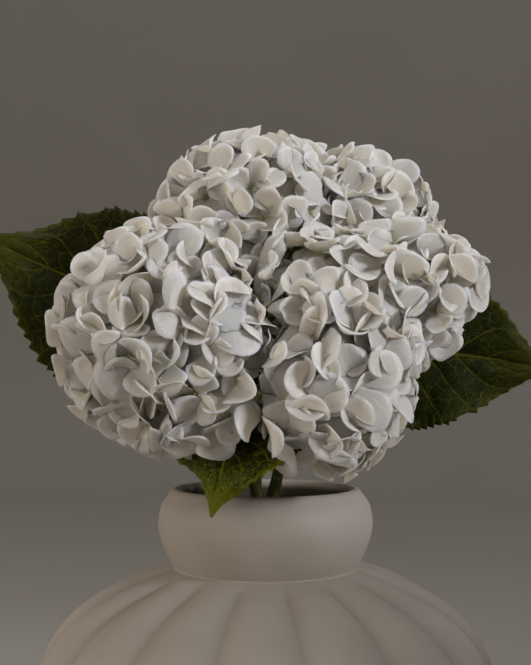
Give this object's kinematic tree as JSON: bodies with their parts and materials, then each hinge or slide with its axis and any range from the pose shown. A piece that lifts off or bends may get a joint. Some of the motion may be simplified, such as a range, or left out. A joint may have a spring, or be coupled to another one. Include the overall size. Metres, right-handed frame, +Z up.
{
  "type": "hydrangeas in a vase",
  "caption": "Rounded mophead blooms of small white florets on cut stems with broad toothed leaves, standing in water in a wide fluted stoneware vase with a barrel-shaped collar.",
  "frame": {"origin": "centre of the flat foot that the vase stands on", "axes": "+Z up, along the vase's axis; the picture looks from -Y towards +Y, with +X to its right"},
  "size_m": [0.3982, 0.2971, 0.4435],
  "materials": {
    "stoneware": "matt, slightly chalky cream glaze with the throwing and casting marks just visible",
    "water": "clear still water",
    "stem": "green, semi-matt, with small pale spots",
    "leaf": "semi-matt dark green with a lighter net of veins, paler and duller underneath",
    "sepal": "matt creamy white, thin enough for light to pass through at the edges"
  },
  "bodies": {
    "root": {"vase": "stoneware", "water": "water", "stem_left": "stem", "stem_right": "stem", "stem_top": "stem", "stem_back": "stem", "head_left": "sepal", "head_right": "sepal", "head_top": "sepal", "head_back": "sepal", "leaf_left": "leaf", "leaf_right": "leaf", "leaf_front": "leaf", "leaf_back_left": "leaf", "leaf_back_right": "leaf"}
  },
  "joints": []
}
